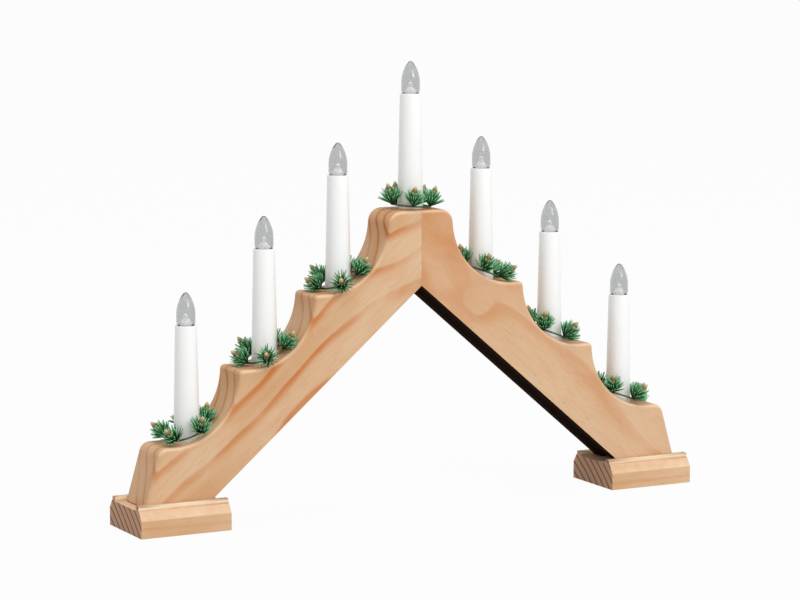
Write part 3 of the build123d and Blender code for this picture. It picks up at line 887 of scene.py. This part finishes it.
class ARCH_OT_stage(bpy.types.Operator):
    """Set up the camera, the pale floor and the soft lights"""

    bl_idname = "candle_arch.stage"
    bl_label = "Stage"

    def execute(self, context):
        settings = context.scene.candle_arch.stage
        self.camera(context, settings)
        self.world(context, settings)
        self.floor()
        aim = Vector((0.0, 0.0, 0.12))
        self.light("key_light", Vector((0.8, -3.25, 2.2)), aim, 2.1, settings.key_power)
        self.light("top_light", Vector((-0.3, -0.2, 2.0)), aim, 1.4, settings.top_power)
        context.scene.view_settings.view_transform = "Standard"
        return {"FINISHED"}

    def camera(self, context, settings):
        azimuth, elevation = settings.azimuth, settings.elevation
        back = Vector((sin(azimuth) * cos(elevation), -cos(azimuth) * cos(elevation), sin(elevation)))
        right = Vector((cos(azimuth), sin(azimuth), 0.0))
        up = back.cross(right)
        turn = Matrix((right, up, back)).transposed() @ Matrix.Rotation(settings.roll, 3, "Z")
        data = bpy.data.cameras.new("camera")
        data.lens = settings.lens
        data.sensor_width = 36.0
        data.sensor_fit = "HORIZONTAL"
        data.clip_start = 0.05
        camera = bpy.data.objects.new("camera", data)
        camera.matrix_world = Matrix.Translation(settings.place) @ turn.to_4x4()
        context.scene.collection.objects.link(camera)
        context.scene.camera = camera

    def seen_rays(self, tree):
        """1 for rays from the camera, or through gloss or glass, and 0 for light on the object."""
        path = put(tree, "ShaderNodeLightPath").outputs
        mirrored = calc(tree, "MAXIMUM", path["Is Glossy Ray"], path["Is Transmission Ray"])
        return calc(tree, "MAXIMUM", path["Is Camera Ray"], mirrored)

    def world(self, context, settings):
        world = bpy.data.worlds.new("pale surround")
        world.use_nodes = True
        tree = world.node_tree
        tree.nodes.clear()
        colour = rgba((1.0, 1.0, 1.0))
        soft = put(tree, "ShaderNodeBackground", {"Color": colour, "Strength": settings.surround}).outputs[0]
        white = put(tree, "ShaderNodeBackground", {"Color": colour, "Strength": 1.0}).outputs[0]
        mix = put(tree, "ShaderNodeMixShader", {0: self.seen_rays(tree), 1: soft, 2: white})
        put(tree, "ShaderNodeOutputWorld", {"Surface": mix.outputs[0]})
        context.scene.world = world

    def floor(self):
        material = bpy.data.materials.new("pale_floor")
        material.use_nodes = True
        tree = material.node_tree
        tree.nodes.clear()
        matt = put(tree, "ShaderNodeBsdfDiffuse", {"Color": (0.62, 0.62, 0.62, 1.0)}).outputs[0]
        white = put(tree, "ShaderNodeEmission", {"Color": (1.0, 1.0, 1.0, 1.0), "Strength": 1.0}).outputs[0]
        share = times(tree, self.seen_rays(tree), 0.95)
        mix = put(tree, "ShaderNodeMixShader", {0: share, 1: matt, 2: white})
        put(tree, "ShaderNodeOutputMaterial", {"Surface": mix.outputs[0]})
        work = bmesh.new()
        bmesh.ops.create_grid(work, x_segments=1, y_segments=1, size=30.0)
        mesh = bpy.data.meshes.new("floor")
        work.to_mesh(mesh)
        work.free()
        mesh.materials.append(material)
        new_object("floor", mesh)

    def light(self, name, place, aim, size, power):
        data = bpy.data.lights.new(name, "AREA")
        data.shape = "DISK"
        data.size = size
        data.energy = power
        lamp = bpy.data.objects.new(name, data)
        lamp.location = place
        lamp.rotation_euler = (aim - place).to_track_quat("-Z", "Y").to_euler()
        bpy.context.scene.collection.objects.link(lamp)


class ARCH_OT_wood(bpy.types.Operator):
    """Dress the legs and feet in lacquered pine"""

    bl_idname = "candle_arch.wood"
    bl_label = "Legs and feet"

    # In each leg's own grain the rings lie far from the pith, and bend into a flame or an eye
    figures = {
        "left": {"Pith": (0.0, 150.0, 37.0), "Warp": 14.0, "Rise": 0.56, "Eye Place": (135.0, -16.0, 130.0),
                 "Eye Reach": (55.0, 80.0, 60.0), "Eye Strength": 1.3},
        "right": {"Pith": (0.0, 190.0, 70.0), "Warp": 20.0, "Shift": (300.0, 40.0, 0.0),
                  "Eye Place": (-54.0, -16.0, 122.5), "Eye Reach": (18.5, 40.0, 13.6), "Eye Strength": 1.0},
    }
    foot_figure = {"Pith": (0.0, 130.0, -142.0), "Warp": 3.0, "Rise": 0.6, "Evenness": 1.0,
                   "Eye Reach": (1.0, 1.0, 1.0)}
    ring_shares = {"left": 0.95, "right": 0.42}
    tan_shares = {"left": 0.9, "right": 0.45}
    # Where the right leg's orange patches are full and where they end, along its grain
    patches = (-100.0, -20.0)
    # Below the lip's top, where the painted highlight on the bevel and on the lip starts, and how strong it is
    highlight_bands = [(8.9, 8.0, 0.1), (2.6, 1.6, 0.65)]

    def execute(self, context):
        wood = context.scene.candle_arch.wood
        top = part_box("left_foot")[1].z
        lip = top / MM
        for side, sign in SIDES.items():
            turn = -sign * LEG_SLOPE
            figure = {**self.figures[side], "Ring Width": wood.ring_width / MM}
            leg = pine(f"pine_{side}_leg", wood, turn, figure, self.tan_shares[side], self.ring_shares[side],
                       0.3, wood.end_pale, 0.6)
            if side == "right":
                leg = warmed(leg, turn, *self.patches, wood)
            # Painted highlights on the leg's upward rounded edges, then its darker underside
            leg = darkened_below(painted_edge_highlights(leg, 0.45, wood), turn, wood)
            piece = copied(f"{side}_leg_let_in", f"{side}_leg", leg)
            piece = let_in(piece, sign, top, GROOVE_DEPTH - SEAT_GAP)
            finished(piece, "arch", [f"{side}_leg"])
            figure = {**self.foot_figure, "Ring Width": wood.foot_ring_width / MM,
                      "Shift": (sign * 90.0, 0.0, 0.0)}
            foot = pine(f"pine_{side}_foot", wood, 0.0, figure, 1.0, 0.2, 0.95, wood.foot_end, 0.9)
            # Painted highlights on the foot's bevel and lip
            for start, end, share in self.highlight_bands:
                foot = painted_highlight_above(foot, lip - start, lip - end, share, wood)
            low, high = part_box(f"{side}_foot")
            piece = copied(f"{side}_foot_grooved", f"{side}_foot", foot)
            piece = grooved(piece, (low.x - MM, -GROOVE_HALF, top - GROOVE_DEPTH),
                            (high.x + MM, GROOVE_HALF, top + MM))
            finished(piece, "arch", [f"{side}_foot"])
        return {"FINISHED"}


class ARCH_OT_fittings(bpy.types.Operator):
    """Finish the channel covers, wires, sockets, bush, screws and dowels"""

    bl_idname = "candle_arch.fittings"
    bl_label = "Fittings"

    def execute(self, context):
        fibre = moulded("dark_fibre", srgb(38, 27, 22), 0.7, grain=1.2, rough=0.9, bump=0.25)
        black = moulded("black_plastic", srgb(24, 24, 25), 0.8, rough=0.45, bump=0.1)
        green = moulded("wire_green", srgb(34, 82, 48), 0.8, rough=0.4)
        beech = moulded("beech", srgb(214, 178, 138), 0.82, grain=1.0, rough=0.6, bump=0.15)
        steel = metal("zinc_steel", srgb(196, 198, 200), 0.8, 0.35)
        brass = metal("socket_brass", srgb(214, 178, 104), 0.82, 0.3)
        fibre.node_tree.nodes["Principled BSDF"].inputs["Specular IOR Level"].default_value = 0.0
        finishes = {"left_channel_cover": fibre, "right_channel_cover": fibre, "wiring": green,
                    "cord_inlet_bush": black, "mitre_dowels": beech, "foot_screws": steel,
                    "lamp_sockets": brass}
        for node, material in finishes.items():
            dress(node, material)
        return {"FINISHED"}


class ARCH_OT_sleeves(bpy.types.Operator):
    """Turn the seven white candle sleeves"""

    bl_idname = "candle_arch.sleeves"
    bl_label = "Candle sleeves"

    def execute(self, context):
        settings = context.scene.candle_arch.candles
        white = moulded("candle_white", tuple(settings.white), 0.985, grain=1.6, rough=0.3, bump=0.03)
        for number in CANDLES:
            x, land, radius, rim = candle_place(number)
            height = rim - land
            top = radius - 1.5 * MM
            points = [(3.3 * MM, -SPIGOT_LENGTH), (4.5 * MM, -SPIGOT_LENGTH), (4.5 * MM, 0.0), (radius, 0.0),
                      (top, height), (5.4 * MM, height), (5.4 * MM, height - 1.2 * MM),
                      (5.8 * MM, height - 1.6 * MM), (5.8 * MM, height - 4.0 * MM)]
            points += [(5.5 * MM, height - 4.0 * MM), (5.5 * MM, height - 18.0 * MM),
                       (4.2 * MM, height - 18.0 * MM), (4.2 * MM, 3.0 * MM), (3.3 * MM, 3.0 * MM)]
            outline = ring_outline(points, settings.rim_round)
            piece = turned_piece(f"candle_white_{number}", [(outline, 0)], (x, 0.0, land), [white], 72)
            finished(piece, "arch", [f"candle_sleeve_{number}"])
        return {"FINISHED"}


class ARCH_OT_lamps(bpy.types.Operator):
    """Make the clear lamps with their carriers, screw caps and contacts"""

    bl_idname = "candle_arch.lamps"
    bl_label = "Lamps"

    solid_tip = 1.6 * MM

    def execute(self, context):
        settings = context.scene.candle_arch.lamps
        # The outside's grey is painted shade for the surroundings seen through the lamp; the inside stays near
        # white
        outside = clear("lamp_clear", tuple(settings.see_through_colour))
        inside = clear("lamp_clear_inside", srgb(253, 253, 253))
        # Painted light: the carrier, the LED's dome and its chip glow for the light that the clear envelope
        # keeps from them, and the chip paints the bright spot on top
        white = painted_glow(moulded("carrier_white", tuple(settings.carrier), 0.97, rough=0.4), 0.5)
        dome = painted_glow(moulded("led_dome", srgb(226, 226, 222), 0.96, grain=0.6, rough=0.12), 0.45)
        chip = painted_glow(moulded("led_chip", srgb(252, 250, 240), 0.98, grain=0.6, rough=0.15), 0.6)
        brass = metal("cap_brass", srgb(216, 182, 110), 0.84, 0.26)
        black = moulded("contact_insulator", srgb(26, 24, 24), 0.8, rough=0.3)
        solder = metal("contact_solder", srgb(190, 190, 192), 0.85, 0.4)
        thread = thread_tree(brass)
        for number in CANDLES:
            x, land, radius, rim = candle_place(number)
            place = (x, 0.0, rim)
            body = f"lamp_{number}"
            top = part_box(f"bulb_envelope_{number}")[1].z - rim
            piece = self.envelope(f"lamp_clear_{number}", top, settings.wall, place, [outside, inside])
            finished(piece, body, [f"bulb_envelope_{number}"])
            piece = turned_piece(f"lamp_carrier_{number}", self.carrier(), place, [white, dome, chip], 40)
            finished(piece, body, [f"led_carrier_{number}"])
            cap = turned_piece(f"cap_shell_{number}", [(self.cap(), 0)], place, [brass], 40)
            values = {"Radius": 4.25 * MM, "Pitch": settings.thread_pitch, "Turns": 4.0,
                      "Place": (x, 0.0, rim - 12.0 * MM)}
            piece = run_tree(f"lamp_cap_{number}", thread, values, cap.data.copy())
            bpy.data.objects.remove(cap)
            finished(piece, body, [f"bulb_cap_{number}"])
            piece = turned_piece(f"lamp_contact_{number}", self.contact(), place, [black, solder], 32)
            finished(piece, f"lamp_lift_{number}", [f"bulb_contact_{number}"])
        return {"FINISHED"}

    def envelope(self, name, top, wall, place, materials, segments=64):
        """Pointed envelope: its outer line up and its inner line down, with the painted grey shade on the
        outside alone.
        """
        outer = self.flame_line(top, 0.0)
        inner = self.flame_line(top - self.solid_tip, wall)
        section = outer + inner[::-1] + [outer[0]]
        piece = turned_piece(name, [(section, 0)], place, materials, segments)
        for face in piece.data.polygons:
            face.material_index = int(face.index >= segments * len(outer))
        return piece

    def flame_line(self, top, inset):
        """One line of the envelope from its neck to its tip, set in from the outside."""
        radius, neck, shoulder, tip = 6.0 * MM, 5.2 * MM, 7.0 * MM, 2.0 * MM
        rise = top - tip - shoulder
        swing = (rise ** 2 + radius ** 2 - tip ** 2) / (2 * (radius - tip))
        meet = asin(rise / (swing - tip))
        line = rounded([(neck - inset, -3.0 * MM), (neck - inset, 0.0), (radius - inset, 1.5 * MM),
                        (radius - inset, shoulder)], 1.2 * MM, 4)
        for step in range(1, 15):
            angle = meet * step / 14
            line.append((radius - swing + (swing - inset) * cos(angle),
                         shoulder + (swing - inset) * sin(angle)))
        for step in range(1, 7):
            angle = meet + (pi / 2 - meet) * step / 6
            line.append(((tip - inset) * cos(angle), top - tip + (tip - inset) * sin(angle)))
        line[-1] = (0.05 * MM, line[-1][1])
        return line

    def carrier(self):
        """Stepped white post and the dome on top of it."""
        post = rounded([(0.0, -3.0 * MM), (3.6 * MM, -3.0 * MM), (3.6 * MM, 2.2 * MM), (2.55 * MM, 2.2 * MM),
                        (2.55 * MM, 3.9 * MM), (0.0, 3.9 * MM)], 0.25 * MM)
        dome = [(0.0, 3.8 * MM), (1.5 * MM, 3.8 * MM), (1.5 * MM, 5.8 * MM)]
        for step in range(1, 6):
            angle = pi / 2 * step / 5
            dome.append((1.5 * MM * cos(angle), 5.8 * MM + 1.5 * MM * sin(angle)))
        dome[-1] = (0.0, 7.3 * MM)
        split = len(dome) - 4
        return [(post, 0), (dome[:split + 1], 1), (dome[split:], 2)]

    def cap(self):
        """Section of the cap under its thread, open below."""
        points = [(3.9 * MM, -12.5 * MM), (4.2 * MM, -12.5 * MM), (4.2 * MM, -4.2 * MM),
                  (5.2 * MM, -3.6 * MM), (5.2 * MM, -3.0 * MM), (3.9 * MM, -3.0 * MM)]
        return ring_outline(points, 0.2 * MM)

    def contact(self):
        """Insulator in the cap's mouth and the rounded contact below it."""
        disc = rounded([(0.0, -10.9 * MM), (3.85 * MM, -10.9 * MM), (3.85 * MM, -12.5 * MM),
                        (1.9 * MM, -13.6 * MM), (0.0, -13.6 * MM)], 0.3 * MM)
        tip = [(0.0, -13.2 * MM)]
        for step in range(6):
            angle = pi / 2 * step / 5
            tip.append((1.6 * MM * cos(angle), -13.5 * MM - 0.75 * MM * sin(angle)))
        tip[-1] = (0.0, -14.25 * MM)
        return [(disc, 0), (tip, 1)]


class ARCH_OT_wreaths(bpy.types.Operator):
    """Grow the seven needle wreaths and their buds"""

    bl_idname = "candle_arch.wreaths"
    bl_label = "Wreaths"

    turns = [-73.0, -108.0, -108.0, -110.0, -113.0, -140.0, -140.0]
    droops = [8.0, 30.0, 24.0, 0.0, 4.0, 0.0, 4.0]
    top_tilt = radians(5.0)

    def execute(self, context):
        settings = context.scene.candle_arch.wreaths
        # Needles run from near black at the root, painted shade of the cup's inside, to pale tips
        green = [(0.0, settings.needle_root_shade), (0.35, srgb(20, 86, 44)), (0.72, srgb(84, 184, 108)),
                 (1.0, settings.needle_light)]
        golden = [(0.0, settings.bud_brown), (0.45, srgb(94, 70, 32)), (0.75, srgb(142, 114, 62)),
                  (1.0, settings.bud_cream)]
        wire = moulded("wreath_wire", srgb(36, 96, 52), 0.8, rough=0.35)
        needles = needle_wreath_tree(along_finish("pine_needles", green, 0.42), wire)
        buds = bud_tree(along_finish("golden_buds", golden, 0.5))
        for number in CANDLES:
            values = self.seat(number, settings)
            values.update({"Whorls": settings.whorls, "Needles": settings.needles,
                           "Needle Length": settings.needle_length, "Needle Width": settings.needle_width,
                           "Wire": settings.wire, "Bud Length": 10.8 * MM, "Bud Width": 5.2 * MM,
                           "Bud Start": 3.6 * MM})
            body = f"wreath_body_{number}"
            piece = run_tree(f"wreath_green_{number}", needles, values)
            finished(piece, body, [f"wreath_{number}"])
            piece = run_tree(f"wreath_gold_{number}", buds, values)
            finished(piece, body, [f"wreath_buds_{number}"])
        return {"FINISHED"}

    def seat(self, number, settings):
        """Where a wreath lies: flat on the top land, and leaning on the cove elsewhere."""
        x, land, radius, rim = candle_place(number)
        ring = radius + 3.6 * MM + settings.wire / 2
        side = 0.0 if abs(x) < MM else x / abs(x)
        tilt, cove_x = self.top_tilt, 0.0
        height = settings.wire / 2 + 0.3 * MM + ring * sin(tilt)
        if side:
            step = min(range(3), key=lambda index: abs(abs(x) - STEP_ENDS[index] - 30 * MM))
            low, high = 2.0 * MM, self.cove_rise(step, abs(x) - ring) + settings.wire / 2 + 0.5 * MM
            height, tilt = (low + high) / 2, side * asin((high - low) / (2 * ring))
            cove_x = side * self.cove_centre(step)
        return {"Sprigs": settings.sprigs, "Turn": radians(self.turns[number - 1]),
                "Elevation": radians(58.0 if side else 72.0), "Droop": radians(self.droops[number - 1]),
                "Ring Radius": ring, "Place": (x, 0.0, land + height), "Tilt": tilt, "Seed": number, "Axis": x,
                "Sleeve Radius": radius + 0.25 * MM, "Land": land, "Cove X": cove_x, "Side": side}

    def cove_centre(self, step):
        """Distance from the mitre to the centre line of the cove below a step's end."""
        lands = [candle_place(4 + index)[1] for index in range(4)]
        drop = lands[step] - lands[step + 1]
        return STEP_ENDS[step] + sqrt(COVE_RADIUS ** 2 - (drop - COVE_RADIUS) ** 2)

    def cove_rise(self, step, x):
        """Height of the cove above the land at a distance from the mitre."""
        inward = max(self.cove_centre(step) - x, 0.0)
        return COVE_RADIUS - sqrt(COVE_RADIUS ** 2 - inward ** 2)


class ARCH_PT_panel(bpy.types.Panel):
    """Lists the steps that dress the candle arch"""

    bl_idname = "ARCH_PT_panel"
    bl_label = "Candle Arch"
    bl_space_type = "VIEW_3D"
    bl_region_type = "UI"
    bl_category = "Candle Arch"

    def draw(self, context):
        for operator in OPERATORS:
            self.layout.operator(operator.bl_idname)


OPERATORS = [ARCH_OT_stage, ARCH_OT_wood, ARCH_OT_fittings, ARCH_OT_sleeves, ARCH_OT_lamps, ARCH_OT_wreaths]
SETTINGS = [WoodSettings, CandleSettings, LampSettings, WreathSettings, StageSettings, ArchSettings]


def register():
    for item in SETTINGS + OPERATORS + [ARCH_PT_panel]:
        bpy.utils.register_class(item)
    settings = PointerProperty(name="Candle arch", description="Settings of the arch", type=ArchSettings)
    bpy.types.Scene.candle_arch = settings


def unregister():
    del bpy.types.Scene.candle_arch
    for item in reversed(SETTINGS + OPERATORS + [ARCH_PT_panel]):
        bpy.utils.unregister_class(item)


def main():
    register()
    bpy.ops.candle_arch.stage()
    bpy.ops.candle_arch.wood()
    bpy.ops.candle_arch.fittings()
    bpy.ops.candle_arch.sleeves()
    bpy.ops.candle_arch.lamps()
    bpy.ops.candle_arch.wreaths()


if __name__ == "__main__":
    main()
